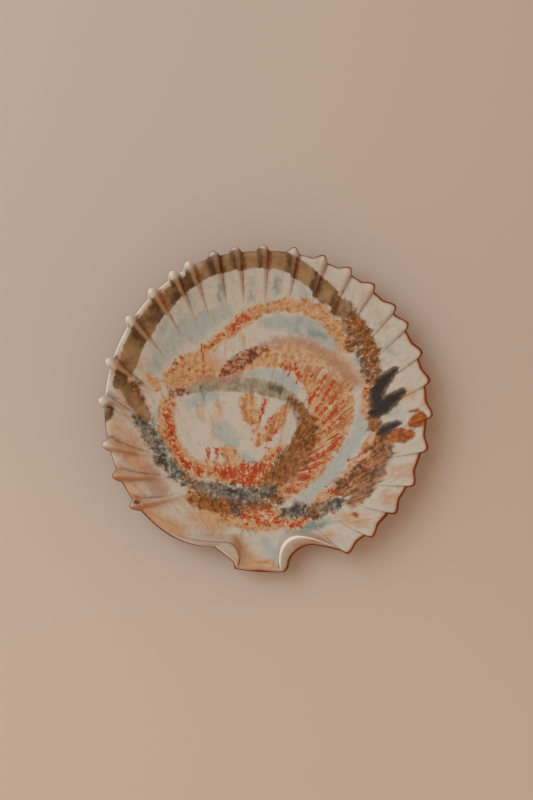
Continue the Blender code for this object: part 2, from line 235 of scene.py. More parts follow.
# The rolled edge: how far the lip falls from the crest, how far the lift of the plain rim runs in, how far in
# the clay has its full thickness, the turn of its nose in degrees, and how far along the back its rows go
LIP_FALL = 0.0012
RIM_WALL = 0.026
FULL_CLAY = 0.022
STEEPEST_CLAY = 2.4
NOSE_TURNS = (65, 40, 15, -10, -35, -60)
OVER_STEPS, UNDER_STEPS, BACK_STEPS = 5, 4, 22
BACK_END = 0.36

# The neck between the ears, and the point above it from which the ridges fan out
NECK_X = -0.006
NECK_LENGTH, NECK_DIP = 0.045, 0.012
LEFT_EDGE_START = 0.0117
EAR_FALL = 0.0115
EAR_WALL = 0.0085
RIGHT_NOTCH, LEFT_NOTCH = 0.0195, 0.0127
RIGHT_EAR_Y, LEFT_EAR_Y = 0.0355, 0.0297
QUARTER_CIRCLE = 0.5523
FAN_Y, FAN_REACH = 0.066, 0.11


def ease(t):
    """0 to 1 with a soft start and end."""
    t = np.clip(t, 0.0, 1.0)
    return t * t * (3 - 2 * t)


def mix(a, b, t):
    """From a to b as t goes from 0 to 1."""
    return a + (b - a) * t


def hump(distance, width):
    """1 at a distance of 0, falling away on both sides within about this width."""
    return np.exp(-((distance / width) ** 2))


def within(value, start, start_soft, end, end_soft):
    """1 between start and end and 0 outside them, each this soft."""
    return ease((value - start) / start_soft) * ease((end - value) / end_soft)


def polar(angle, radius):
    """The place in plan at this angle and radius."""
    return np.stack((np.cos(angle) * radius, np.sin(angle) * radius), axis=-1)


def bezier(points, t):
    """Points on the Bezier curve of these control points."""
    while len(points) > 1:
        points = [mix(a, b, t) for a, b in zip(points, points[1:])]
    return points[0]


def boldness(angle):
    """1 where the pleats are cords, 0 on the far side."""
    return ease(0.5 + 0.62 * np.cos(angle - BOLD_DIRECTION))


def rounded(distance):
    """The section of a rounded cord, 1 on its crest and 0 at a distance of 1 from it."""
    return np.sqrt(ease(1 - distance))


def fold_width(angle):
    """Width of the steep fold that follows a ridge, clockwise."""
    return mix(FAINT_FOLD, BOLD_FOLD, boldness(angle))


def slope_width(angle, gap):
    """Width of the slope up to the next ridge, where the two ridges are this far apart."""
    return mix(np.minimum(0.72 * gap, gap - FAINT_FOLD), BOLD_SLOPE, boldness(angle))


def tip_radius(angle, rim_radius):
    """Radius of the tips of the pleats, a little larger on the right and on the left."""
    right = ease(np.cos(angle - math.radians(-15)))
    left = ease((np.cos(angle - math.radians(165)) - 0.3) / 0.35)
    return rim_radius + RIGHT_REACH * right + LEFT_REACH * left


class Shell:
    """Every point of the dish, as columns that run from the middle out over the rim and back under it."""

    def __init__(self, sizes):
        self.sizes = sizes
        self.columns = []
        self.pleated_columns()
        self.neck_columns()
        for key in self.columns[0]:
            values = np.array([column[key] for column in self.columns], dtype=float)
            setattr(self, key, values[:, None])

    def bowl_height(self, points):
        """Height of the smooth inside, without pleats or ears."""
        sizes = self.sizes
        x, y = points[..., 0], points[..., 1]
        radius = np.hypot(x, y)
        climb = np.maximum(0.0, (radius - sizes.flat_radius) / (sizes.rim_radius - sizes.flat_radius))
        height = sizes.foot_height + sizes.wall + sizes.bowl_depth * climb**2
        flare = ease((radius - sizes.rim_radius + FLARE_WIDTH) / FLARE_WIDTH) ** 2
        height = height - FLARE_DROP * boldness(np.arctan2(y, x)) * flare
        across_neck = np.exp(-(((x - NECK_X) / (0.5 * sizes.neck_width)) ** 4))
        along_neck = ease((-y - sizes.rim_radius + NECK_LENGTH) / NECK_LENGTH)
        return height - NECK_DIP * across_neck * along_neck

    def ridge_run(self, depth, angle):
        """How far along a ridge this depth inside the rim is, 1 at its end, and the ridge's width there."""
        whole = mix(self.sizes.faint_length, self.sizes.bold_length, boldness(angle))
        share = np.minimum(depth / whole, 1.0)
        return share, mix(1.0, 0.4, share)

    def ridge_height(self):
        """Height of each column's ridge at the rim."""
        return mix(self.sizes.faint_height, self.sizes.bold_height, boldness(self.angle))

    def ridge(self, depth, after, before, angle):
        """Height of the ridges, 0 to 1, this deep inside the rim."""
        share, width = self.ridge_run(depth, angle)
        gap = np.minimum(after + before, END_PLEAT)
        fold = rounded(after / (fold_width(angle) * width))
        climb = before / (slope_width(angle, gap) * width)
        slope = mix(ease(1 - climb), rounded(climb), boldness(angle))
        return np.maximum(fold, slope) * (1 - share) ** 1.4

    def pleated_column(self, ridge_angle, after, before):
        """A column of the pleated rim, this far after its ridge and before the next one."""
        angle = ridge_angle - after / self.sizes.rim_radius
        bold = boldness(angle)
        inset = mix(FAINT_KNOB, BOLD_KNOB, bold)
        knob = inset * self.ridge(0.0, after, before, angle)
        radius = tip_radius(angle, self.sizes.rim_radius) - inset + knob
        crest_radius = radius - mix(FAINT_CREST, BOLD_CREST, bold)
        return {
            "crest": polar(angle, crest_radius),
            "lip": polar(angle, radius),
            "knob": polar(angle, knob),
            "guide": polar(angle, crest_radius - knob),
            "lift": 0.0,
            "fall": LIP_FALL,
            "wall": RIM_WALL,
            "after": after,
            "before": before,
            "angle": angle,
            "pleated": 1.0,
        }

    def pleated_columns(self):
        """The pleated arc, clockwise, with its columns closest together in the folds."""
        angles = [math.radians(degrees) for degrees in RIDGE_ANGLES]
        for ridge, following in zip(angles, angles[1:]):
            gap = (ridge - following) * self.sizes.rim_radius
            fold = fold_width(ridge)
            slope = slope_width(following, min(gap, END_PLEAT))
            foot = max(gap - slope, 1.05 * fold)
            parts = ((0.0, fold, FOLD_STEPS), (fold, foot, HOLLOW_STEPS), (foot, gap, SLOPE_STEPS))
            afters = [after for part in parts for after in np.linspace(*part)[:-1]]
            self.columns += [self.pleated_column(ridge, after, gap - after) for after in afters]
        for after in np.linspace(0.0, FAINT_FOLD, 9)[:-1]:
            self.columns.append(self.pleated_column(angles[-1], after, END_PLEAT))

    def edge_columns(self, steps, crest, lip, heights, falls, walls):
        """A plain stretch of rim between two control polygons, up to but not with its end."""
        crest, lip = ([np.array(point, dtype=float) for point in line] for line in (crest, lip))
        for i in range(steps):
            t = i / steps
            point = bezier(crest, t)
            self.columns.append(
                {
                    "crest": point,
                    "lip": bezier(lip, t),
                    "knob": np.zeros(2),
                    "guide": None,
                    "lift": mix(*heights, ease(t)) - self.bowl_height(point),
                    "fall": mix(*falls, ease(t)),
                    "wall": mix(*walls, ease(t)),
                    "after": 1.0,
                    "before": 1.0,
                    "angle": math.atan2(point[1], point[0]),
                    "pleated": 0.0,
                }
            )

    def neck_columns(self):
        """The plain rim, clockwise: lower right edge, right ear, tab, left ear, lower left edge."""
        sizes = self.sizes
        rim, ear, tab = sizes.rim_radius, sizes.ear_height, sizes.tab_height
        first_ridge, last_ridge = (math.radians(RIDGE_ANGLES[i]) for i in (0, -1))
        start = self.pleated_column(last_ridge, FAINT_FOLD, END_PLEAT)
        end_angle = first_ridge + END_PLEAT / rim
        end = self.pleated_column(end_angle, END_PLEAT - LEFT_EDGE_START, LEFT_EDGE_START)
        right_x, left_x = (NECK_X + side * 0.5 * sizes.neck_width for side in (1, -1))

        def at(*place):
            return np.array(place)

        def quarter(hub, first, last):
            """A quarter of a circle round a hub, as control points."""
            pull = QUARTER_CIRCLE
            return [hub + first, hub + first + last * pull, hub + last + first * pull, hub + last]

        def curve(start, leave, arrive, end):
            """A curve's control points, from how it leaves its start and arrives at its end."""
            return [start, start + at(*leave), end + at(*arrive), end]

        right_notch, left_notch = RIGHT_NOTCH, LEFT_NOTCH
        right_hub = at(right_x + right_notch, RIGHT_EAR_Y - rim - right_notch)
        right_arc = quarter(right_hub, at(0, right_notch), at(-right_notch, 0))
        right_low = at(right_x, right_hub[1] - 0.008)
        right_fold = right_arc[0] + at(0.65, -0.5) * right_notch
        right_skirt = right_low + at(0.5, -0.1) * right_notch
        left_hub = at(left_x - left_notch, LEFT_EAR_Y - rim - left_notch)
        left_arc = quarter(left_hub, at(left_notch, 0), at(0, left_notch))
        left_low = at(left_x, left_hub[1] - 0.004)
        left_fold = left_arc[-1] + at(-left_notch, -0.0046)
        left_skirt = left_low + at(-0.52, -0.3) * left_notch
        tab_right = at(right_x + 0.001, 0.0005 - rim)
        tab_left = at(left_x - 0.001, 0.0035 - rim)
        bow = at(0, -0.0015)
        tab_end = [tab_right, *(mix(tab_right, tab_left, share) + bow for share in (0.33, 0.67)), tab_left]
        tab_lip = [point + at(side * 0.003, -0.0013) for point, side in zip(tab_end, (1, 1, -1, -1))]

        middle = mix(ear, tab, 0.6)
        fall, left_fall = EAR_FALL, 0.7 * EAR_FALL
        wall, edge_wall = EAR_WALL, RIM_WALL
        first = len(self.columns)
        self.edge_columns(
            18,
            curve(start["crest"], (-0.012, 0.004), (0.018, -0.001), right_arc[0]),
            curve(start["lip"], (-0.012, 0.003), (0.012, -0.001), right_fold),
            (self.bowl_height(start["crest"]), ear),
            (LIP_FALL, fall),
            (edge_wall, wall),
        )
        self.edge_columns(
            24,
            right_arc + [right_low],
            curve(right_fold, (-0.010, 0), (0, 0.010), right_skirt),
            (ear, middle),
            (fall, left_fall),
            (wall, wall),
        )
        self.edge_columns(
            9,
            curve(right_low, (0, -0.003), (0.001, 0.002), tab_right),
            curve(right_skirt, (-0.001, -0.003), (0.003, 0), tab_lip[0]),
            (middle, tab),
            (left_fall, LIP_FALL),
            (wall, wall),
        )
        self.edge_columns(20, tab_end, tab_lip, (tab, tab), (LIP_FALL, LIP_FALL), (wall, wall))
        self.edge_columns(
            9,
            curve(tab_left, (0, 0.002), (0, -0.002), left_low),
            curve(tab_lip[-1], (-0.002, 0.001), (0.002, -0.001), left_skirt),
            (tab, middle),
            (LIP_FALL, left_fall),
            (wall, wall),
        )
        self.edge_columns(
            24,
            [left_low] + left_arc,
            [left_skirt, left_fold],
            (middle, ear),
            (left_fall, left_fall),
            (wall, wall),
        )
        self.edge_columns(
            34,
            curve(left_arc[-1], (-0.034, 0), (0.022, -0.024), end["crest"]),
            curve(left_fold, (-0.022, -0.001), (0.024, -0.026), end["lip"]),
            (ear, self.bowl_height(end["crest"])),
            (left_fall, LIP_FALL),
            (wall, edge_wall),
        )
        plain = self.columns[first:]
        first_angle = last_ridge - FAINT_FOLD / rim
        last_angle = first_ridge + LEFT_EDGE_START / rim - math.tau
        for i, column in enumerate(plain):
            even = polar(mix(first_angle, last_angle, i / len(plain)), rim)
            column["guide"] = mix(column["crest"], even, 0.5)
        for before in np.linspace(LEFT_EDGE_START, 0.0, 11)[:-1]:
            self.columns.append(self.pleated_column(end_angle, END_PLEAT - before, before))

    def path(self, along):
        """Plan points this far along each column, 0 on the crest and 1 in the middle of the dish."""
        along = along[..., None]
        to_fan = np.array((NECK_X, FAN_Y - self.sizes.rim_radius)) - self.guide
        reach = np.minimum(FAN_REACH / np.linalg.norm(to_fan, axis=-1, keepdims=True), 0.7)
        inner = self.guide + to_fan * reach
        return bezier([self.crest - self.knob, inner, np.zeros(2)], along) + self.knob * (1 - along) ** 14

    def height(self, along, ridge_share):
        """Heights of the inside, with this share of the ridges, and the ridges themselves."""
        points = self.path(along)
        depth = np.linalg.norm(points - self.crest, axis=-1)
        ridge = self.pleated * self.ridge(depth, self.after, self.before, self.angle)
        height = self.bowl_height(points) + self.lift * ease(1 - depth / self.wall)
        return points, height + ridge_share * self.ridge_height() * ridge, ridge

    def clay(self, along):
        """Thickness of the clay measured upright."""
        points, outer, _ = self.height(along, 0.0)
        further, inner, _ = self.height(along + 0.01, 0.0)
        run = np.maximum(np.linalg.norm(points - further, axis=-1), 0.001)
        slope = (outer - inner) / run
        depth = np.linalg.norm(points - self.crest, axis=-1)
        thickness = mix(self.sizes.lip_thickness, self.sizes.wall, ease(depth / FULL_CLAY))
        return thickness * np.minimum(np.hypot(1, slope), STEEPEST_CLAY)

    def rolled(self, share, ridge_share):
        """Points and heights between the crest, share 0, and the outer edge, share 1."""
        share = np.broadcast_to(share, (len(self.columns), np.shape(share)[-1]))
        _, crest, ridge = self.height(np.zeros((1, 1)), ridge_share)
        tip = ridge_share * 0.45 * self.ridge_height() * ridge
        return mix(self.crest, self.lip, share[..., None]), crest - (self.fall + tip) * share**1.6

    def surface(self):
        """Places of every column and row, the middle of the inside first, and where each row belongs."""
        sizes = self.sizes
        count = len(self.columns)
        half = 0.5 * sizes.lip_thickness
        top_along = (np.arange(sizes.rows - 1, -1, -1) / sizes.rows)[None] ** 1.35
        nose_start = 1 - np.minimum(half / np.linalg.norm(self.lip - self.crest, axis=-1), 0.75)
        turns = np.radians(NOSE_TURNS)[None]
        back_along = BACK_END * np.linspace(0, 1, BACK_STEPS)[None] ** 1.2

        top_points, top_height, ridge = self.height(top_along, 1.0)
        roll_points, roll_height = self.rolled(nose_start * np.linspace(0.2, 1.0, OVER_STEPS)[None], 1.0)
        _, nose_height = self.rolled(nose_start, 1.0)
        nose_share = nose_start + (1 - nose_start) * np.cos(turns)
        nose_points, _ = self.rolled(nose_share, 1.0)
        nose_heights = nose_height - half + half * np.sin(turns)
        under_share = nose_start * np.linspace(1.0, 0.2, UNDER_STEPS)[None]
        under_points, under_height = self.rolled(under_share, 1.0)
        _, under_back = self.rolled(under_share, 0.5)
        back_share = np.linspace(0.0, 1.0, UNDER_STEPS)[None]
        under_height = mix(under_height, under_back, back_share) - sizes.lip_thickness
        back_points, back_height, _ = self.height(back_along, 0.5)
        back_height = back_height - self.clay(back_along)
        outward = back_points[:, -1:] / np.linalg.norm(back_points[:, -1:], axis=-1, keepdims=True)
        # The foot: its fillet under the bowl, its rounded edge and its flat face
        foot, tall = sizes.foot_radius, sizes.foot_height
        rings = [(foot + 0.0022, tall + 0.0003), (foot + 0.0008, tall - 0.0002), (foot, tall - 0.0009)]
        rings += [(foot - 0.0002, 0.0009), (foot - 0.0006, 0.0003), (foot - 0.0014, 0.0)]
        rings += [(foot * share, 0.0) for share in (0.93, 0.86, 0.7, 0.5, 0.3, 0.12)]
        foot_radii = np.array([ring[0] for ring in rings])[None, :, None]
        foot_points = outward * foot_radii
        foot_heights = np.broadcast_to(np.array([ring[1] for ring in rings])[None], (count, len(rings)))

        middle = np.zeros((count, 1, 2))
        floor = np.full((count, 1), sizes.foot_height + sizes.wall)
        parts = (
            (middle, floor),
            (top_points, top_height),
            (roll_points, roll_height),
            (nose_points, nose_heights),
            (under_points, under_height),
            (back_points, back_height),
            (foot_points, foot_heights),
            (middle, 0.0 * floor),
        )
        places = np.concatenate([np.dstack(part) for part in parts], axis=1)
        self.top_rows = 1 + top_along.size
        self.nose_row = self.top_rows + OVER_STEPS + NOSE_TURNS.index(15)
        self.back_row = self.top_rows + OVER_STEPS + turns.size
        self.foot_row = self.back_row + UNDER_STEPS + back_along.size
        rows = places.shape[1]
        self.ridges = np.zeros((count, rows))
        self.ridges[:, 1 : self.top_rows] = ridge
        self.ridges[:, self.top_rows : self.back_row] = ridge[:, -1:]
        steps = np.linalg.norm(np.diff(places, axis=1), axis=-1)
        self.run = np.concatenate((np.zeros((count, 1)), np.cumsum(steps, axis=1)), axis=1)
        return places


def spun_plate(columns, rows):
    """A plain round plate with this many columns and rows, as a spin of its section."""
    mesh = bmesh.new()
    row_layer = mesh.verts.layers.int.new("row")
    half = rows / 2
    verts = []
    for row in range(rows):
        radius = 1 - abs(row - half + 0.5) / (half - 0.5)
        verts.append(mesh.verts.new((radius, 0.0, 0.1 if row < half else 0.0)))
        verts[-1][row_layer] = row
    edges = [mesh.edges.new(pair) for pair in zip(verts, verts[1:])]
    bmesh.ops.spin(
        mesh,
        geom=verts + edges,
        axis=(0, 0, -1),
        cent=(0, 0, 0),
        angle=math.tau,
        steps=columns,
        use_merge=True,
    )
    bmesh.ops.remove_doubles(mesh, verts=mesh.verts, dist=0.00001)
    bmesh.ops.reverse_faces(mesh, faces=mesh.faces)
    data = bpy.data.meshes.new("glazed_dish")
    mesh.to_mesh(data)
    mesh.free()
    return data


# The glaze's fields: how soft their edges are, and their strokes of (x, y, half width), in millimetres as the
# camera sees them. Most hold a colour. Mark holds single red strokes, dash an area of many, deep and light
# change the blue and the orange under them, and brushed is where the hairs of the brush show
FIELDS = {
    "blue": (
        6.0,
        ((-40, -22, 11), (-34, -30, 10)),
        ((-74, 5, 6), (-62, 12, 7), (-50, 14, 6)),
        ((-108, -5, 6), (-104, -10, 4)),
        ((-105, -25, 2), (-95, -45, 2), (-85, -60, 2)),
        (
            (97, 6, 5), (93, -12, 8), (86, -30, 8), (73, -48, 8), (62, -62, 8), (50, -75, 8), (40, -85, 7),
            (32, -92, 4),
        ),
        ((-32, 34, 3), (-10, 35, 4.5), (8, 33, 6), (20, 28, 8), (27, 21, 7)),
        ((-2, 83, 6), (20, 82, 9), (40, 79, 10), (55, 74, 11), (64, 64, 9)),
        ((-108, 38, 7), (-95, 58, 9), (-78, 76, 11), (-55, 86, 11), (-38, 94, 6)),
        ((-104, 64, 5), (-96, 80, 5)),
        ((-70, 70, 8), (-60, 78, 8)),
        ((-44, 104, 2.5), (-42, 124, 3)),
        ((-14, 106, 2.5), (-13, 126, 3)),
        ((11, 110, 2.5), (11, 128, 3)),
        ((38, 108, 4), (34, 118, 4)),
        ((-82, 90, 3), (-88, 102, 2)),
        ((-68, 98, 3), (-74, 112, 2)),
        ((120, -4, 5), (127, -2, 4)),
        ((86, 46, 4), (92, 36, 4)),
        ((118, 62, 3), (122, 52, 3)),
        ((36, -115, 4), (48, -112, 6), (60, -108, 4)),
        ((-92, -22, 3), (-86, -44, 3), (-78, -60, 3)),
        ((-20, -46, 6), (-12, -52, 5)),
        ((14, -46, 3), (18, -38, 3)),
        ((-18, -108, 2), (-16, -118, 2)),
        ((2, -128, 6), (8, -146, 5)),
    ),
    "deep": (
        5.0,
        ((36, -114, 5), (48, -112, 8), (58, -109, 5)),
        ((-60, 20, 1), (-60, 15, 1)),
        ((-44, 106, 1), (-42, 118, 2)),
        ((-14, 108, 1), (-13, 120, 2)),
        ((11, 112, 1), (11, 124, 2)),
        ((-106, -24, 2), (-98, -44, 2), (-88, -60, 2)),
        ((46, 74, 1), (58, 69, 1)),
    ),
    "grey": (
        3.0,
        ((-76, 16, 3), (-68, 20, 5), (-56, 23, 6), (-43, 24, 6), (-25, 23, 7), (-8, 22, 7), (9, 18, 7)),
        ((9, 18, 7), (22, 11, 6), (31, 1, 6), (35, -13, 5), (33, -26, 4)),
    ),
    "orange": (
        4.0,
        ((-17, 6, 9), (-15, -7, 8)),
        ((0, 9, 2), (-7, -15, 2), (-14, -30, 1)),
        ((19, -1, 5), (8, -16, 7.5), (-7, -31, 5)),
        ((16, -36, 3), (2, -52, 4)),
        ((34, 34, 6), (46, 20, 8), (52, 2, 9), (52, -14, 9), (46, -30, 8)),
        ((-44, -38, 3), (-34, -42, 6), (-28, -52, 7)),
        ((8, -40, 5), (-2, -56, 7)),
        (
            (-93, 6, 7), (-96, -10, 8), (-93, -25, 8), (-86, -40, 8), (-78, -52, 8), (-66, -58, 8),
            (-54, -56, 8),
        ),
        ((-54, -58, 8), (-32, -62, 12), (-12, -66, 12), (2, -62, 9)),
        ((-92, 30, 6), (-82, 38, 9), (-70, 42, 12)),
        ((-90, 26, 7), (-70, 30, 9), (-56, 31, 7)),
        ((-60, 56, 4), (-51, 62, 4), (-35, 74, 5.5), (-19, 87, 7), (-8, 94, 6)),
        (
            (-10, 95, 4), (8, 98, 5), (22, 100, 7), (38, 98, 7), (52, 92, 8), (62, 84, 7), (71, 72, 7),
            (78, 60, 7),
        ),
        (
            (-40, 35, 5), (-26, 41, 8), (-8, 50, 9), (14, 50, 11), (34, 46, 12), (50, 38, 13), (64, 24, 15),
            (72, 6, 14),
        ),
        (
            (72, 6, 14), (70, -12, 13), (62, -28, 13), (52, -44, 12), (42, -58, 12), (30, -70, 10),
            (16, -80, 8),
        ),
        ((97, 24, 4), (97, 10, 5), (96, -6, 4)),
        ((110, -24, 7), (104, -40, 11), (94, -56, 12), (82, -70, 10), (68, -80, 8), (50, -88, 5)),
        (
            (-72, -84, 6), (-55, -94, 9), (-40, -100, 10), (-20, -105, 10), (0, -106, 11), (20, -106, 9),
            (34, -104, 8), (46, -100, 6),
        ),
        ((84, -102, 2), (87, -102, 2)),
        ((-8, -148, 2), (6, -147, 3)),
        ((-112, 30, 5), (-104, 20, 4)),
        ((-124, 16, 4), (-118, 4, 3)),
    ),
    "haze": (
        9.0,
        ((-58, 48, 9), (-46, 40, 9), (-36, 34, 6)),
        ((-140, -34, 8), (-130, -42, 9), (-120, -56, 9)),
        ((-142, -60, 8), (-136, -74, 8), (-124, -88, 7)),
        ((-150, -16, 4), (-138, -22, 5), (-124, -30, 5)),
        ((-118, -92, 7), (-100, -108, 7), (-80, -118, 7)),
        ((-68, -104, 7), (-44, -114, 7)),
        ((-30, -148, 6), (-14, -152, 8), (8, -153, 5)),
        ((-26, -126, 4), (-20, -140, 7), (-8, -148, 6)),
        ((-146, 44, 5), (-130, 18, 10)),
        ((-46, -24, 2), (-44, 4, 2)),
        ((20, 60, 6), (60, 52, 8), (88, 32, 9)),
        ((-110, 100, 6), (-90, 120, 5)),
        ((114, 8, 2), (140, 14, 3)),
        ((120, -60, 3), (142, -58, 3)),
        ((116, -84, 3), (136, -84, 3)),
        ((76, -104, 4), (96, -108, 4)),
        ((36, -134, 5), (60, -122, 3)),
    ),
    "maroon": (
        3.0,
        ((-41, 34, 3.5), (-32, 41, 6), (-22, 48, 6.5), (-12, 54, 5.5), (0, 59, 3)),
        ((-92, 12, 2), (-84, 16, 4), (-76, 18, 3)),
    ),
    "pink": (
        6.0,
        (
            (-5, 61, 3), (10, 65, 4), (25, 67, 4), (40, 63, 5), (52, 57, 5), (62, 50, 5), (75, 38, 7),
            (86, 26, 6),
        ),
        ((-60, 28, 4), (-30, 30, 4), (-22, 32, 3)),
        ((-112, -60, 8), (-100, -80, 8)),
        ((-141, -54, 1), (-131, -43, 3), (-123, -39, 2)),
    ),
    "red": (
        4.0,
        (
            (-92, 8, 3.5), (-95, -6, 5), (-92, -24, 5.5), (-86, -38, 5.5), (-79, -50, 5.5), (-68, -58, 5),
            (-58, -60, 4),
        ),
        ((-48, -58, 4), (-34, -62, 9), (-18, -64, 12), (-6, -60, 10), (4, -54, 5)),
        ((6, 40, 2.5), (18, 43, 3), (27, 41, 3), (33, 33, 3), (31, 25, 2)),
        ((-81, 50, 2.5), (-88, 39, 3), (-96, 29, 2)),
        ((-56, 60, 3), (-46, 66, 3), (-34, 76, 4), (-24, 86, 5), (-12, 93, 4)),
        ((-74, 38, 3), (-62, 34, 3)),
        ((14, -109, 4), (24, -112, 5), (30, -115, 3)),
        ((-12, -96, 4), (6, -99, 4)),
        ((-44, -100, 3), (-34, -104, 4)),
        ((96, 20, 3), (98, 6, 3)),
        ((58, -76, 4), (70, -84, 4)),
        ((-20, -104, 6), (0, -106, 7), (14, -108, 6), (28, -113, 5), (36, -107, 4)),
        ((50, -52, 4), (34, -70, 4), (20, -80, 4)),
    ),
    "dash": (
        5.0,
        ((76, -16, 3), (62, -36, 6), (48, -52, 7), (32, -68, 7)),
    ),
    "mark": (
        2.0,
        ((-55, -38, 1.9), (-55, -50, 1.5)),
        ((-47, -38, 1.7), (-46.5, -48, 1.3)),
        ((-61, 62, 0.8), (-59, 34, 0.4)),
        ((0, 8, 1.2), (-6.5, -14, 0.7)),
        ((5, -10, 1.0), (0, -19, 0.6)),
        ((-36, -54, 1.0), (-33, -66, 1.8)),
        ((-23, -53, 1.0), (-22, -68, 1.8)),
        ((-11, -54, 1.0), (-13, -68, 1.6)),
        ((72, 2, 0.8), (60, -10, 0.8)),
        ((56, 22, 0.6), (49, 12, 0.6)),
        ((12, -20, 1.2), (0, -36, 0.8)),
        ((25, 38, 1.4), (21.5, 32, 1.2)),
        ((32.5, 36, 1.6), (31.5, 29, 1.4)),
        ((48, 41, 0.8), (42, 27, 0.4)),
        ((61, 37, 0.6), (52, 22, 0.8), (43, 7, 1.7)),
        ((67, 28, 1.3), (58, 14, 1.5), (46, -6, 0.7)),
        ((69, 13, 1.4), (58, 1, 1.0), (48, -9, 1.0)),
        ((75, 7, 0.8), (64, -4, 1.4), (53, -16, 0.8)),
        ((77, -6, 1.0), (66, -13, 1.2), (56, -22, 0.8)),
        ((73, -28, 1.5), (58, -39, 1.0), (41, -51, 0.8)),
        ((61, -48, 1.3), (41, -60, 1.0)),
        ((14, -38, 1.2), (0, -53, 1.0)),
        ((7, -40, 0.6), (-2, -48, 0.6)),
        ((55, -26, 1.0), (35, -41, 0.8)),
        ((96, -40, 0.6), (80, -50, 1.2)),
        ((102, -54, 0.5), (80, -67, 0.9)),
    ),
    "stain": (
        3.0,
        ((-62, 20, 2), (-58, 14, 1.5)),
        ((4, 22, 2.5), (14, 18, 3.5)),
        ((-104, -40, 1), (-94, -54, 2)),
        ((-42, -78, 1), (-24, -80, 2)),
        ((-4, -84, 1), (8, -76, 2)),
        ((19, -99, 3.5), (30, -98, 4)),
        ((58, -93, 3), (70, -90, 3.5), (84, -86, 0.5)),
        ((98, -70, 1), (106, -58, 1)),
    ),
    "spot": (
        3.0,
        ((123, -27, 6), (131, -25.5, 7.5), (139, -24, 5)),
        ((142, -13, 5.5), (149, -10, 7)),
        ((136, -3, 0.5), (146, -1, 1.5)),
        ((86, -102, 1.5), (87, -102, 1.5)),
    ),
    "olive": (
        4.0,
        ((-78, -66, 5), (-64, -78, 8), (-45, -83, 10), (-28, -85, 11), (-12, -87, 11), (8, -86, 9)),
        ((-72, -84, 4), (-58, -91, 6), (-40, -95, 6), (-24, -95, 6)),
        ((41, -8, 4), (40, -20, 7), (35, -32, 8), (26, -45, 8), (16, -58, 8), (6, -70, 8), (-6, -80, 8)),
        ((62, 104, 6), (76, 94, 9), (86, 80, 10), (94, 66, 10), (100, 52, 10), (102, 38, 9), (104, 24, 6)),
        ((82, 60, 5), (84, 74, 6)),
        ((106, -34, 3), (96, -52, 5), (86, -66, 7), (70, -80, 6)),
        ((30, -94, 4), (44, -98, 6), (60, -95, 6)),
        ((40, -102, 4), (50, -101, 3)),
        ((104, -2, 5), (102, -18, 4)),
        ((-126, 24, 4), (-120, 8, 5), (-112, -8, 3)),
    ),
    "slate": (
        3.5,
        (
            (-128, 12, 3), (-124, 2, 5), (-117, -12, 7), (-109, -28, 8), (-101, -42, 8), (-93, -54, 8),
            (-85, -64, 6),
        ),
        ((-85, -64, 6), (-76, -72, 4)),
        ((-64, -74, 4), (-50, -79, 6), (-34, -79, 7), (-20, -82, 7), (-6, -82, 6), (6, -76, 4)),
        ((20, -100, 6), (28, -99, 6), (38, -98, 4)),
        ((52, -95, 3), (62, -93, 5), (70, -90, 5), (80, -87, 1.5)),
        ((-27, -96, 2.5), (-26, -99, 2.5)),
        ((80, 92, 3), (74, 98, 3)),
        ((56, 108, 4), (50, 116, 3)),
    ),
    "brown": (
        3.0,
        ((-154, -8, 5), (-150, 2, 5)),
        ((-141, 31, 4), (-133, 17, 5.5), (-123, 3, 6), (-116, -6, 5)),
        (
            (-142, 24, 5), (-136, 36, 8), (-130, 50, 9), (-125, 64, 10), (-117, 78, 10), (-106, 94, 10),
            (-94, 108, 10),
        ),
        (
            (-94, 108, 10), (-80, 120, 9), (-65, 131, 9), (-48, 139, 9), (-30, 143, 10), (-10, 145, 10),
            (10, 144, 10),
        ),
        ((10, 144, 10), (25, 139, 9), (38, 130, 8.5), (54, 115, 9), (66, 104, 8), (76, 94, 7)),
    ),
    "black": (
        3.0,
        ((124, 37, 3), (118, 31, 5), (112, 25, 6.5), (107, 15, 5.5), (105, 5, 5)),
        ((131, 16, 3), (122, 9, 6), (113, 3, 7.5), (106, -3, 5)),
        ((126, -14, 2.5), (119, -18, 5), (112, -21, 4)),
        ((-124.5, -89, 0.5), (-122.5, -90, 0.5)),
    ),
    "umber": (
        4.0,
        ((114, -26, 8), (112, -42, 9), (105, -58, 10), (96, -74, 9), (84, -88, 7)),
        ((108, -8, 4), (104, -17, 5)),
        ((24, 10, 3), (34, 0, 5), (41, -12, 8), (40, -26, 11), (32, -42, 12), (22, -56, 12), (8, -68, 9)),
        ((-66, -88, 3), (-50, -94, 5), (-34, -97, 4)),
        ((-128, 8, 4), (-118, -16, 4), (-108, -36, 4), (-98, -52, 4)),
        ((88, 86, 4), (100, 64, 4), (106, 44, 4)),
    ),
    "light": (
        10.0,
        ((20, 58, 7), (44, 50, 7), (66, 36, 7)),
    ),
    "brushed": (
        14.0,
        ((20, 44, 8), (50, 34, 14), (66, 16, 18), (72, -6, 18), (60, -34, 18), (40, -60, 16), (16, -80, 12)),
        ((110, -24, 12), (104, -42, 16), (92, -60, 16), (68, -80, 12)),
        ((-56, -50, 6), (-20, -60, 12), (4, -56, 12)),
        ((16, 6, 8), (6, -24, 10), (-4, -40, 8)),
        ((36, -14, 10), (20, -50, 12), (0, -76, 10)),
        ((-20, 14, 4), (-16, -14, 6)),
    ),
}


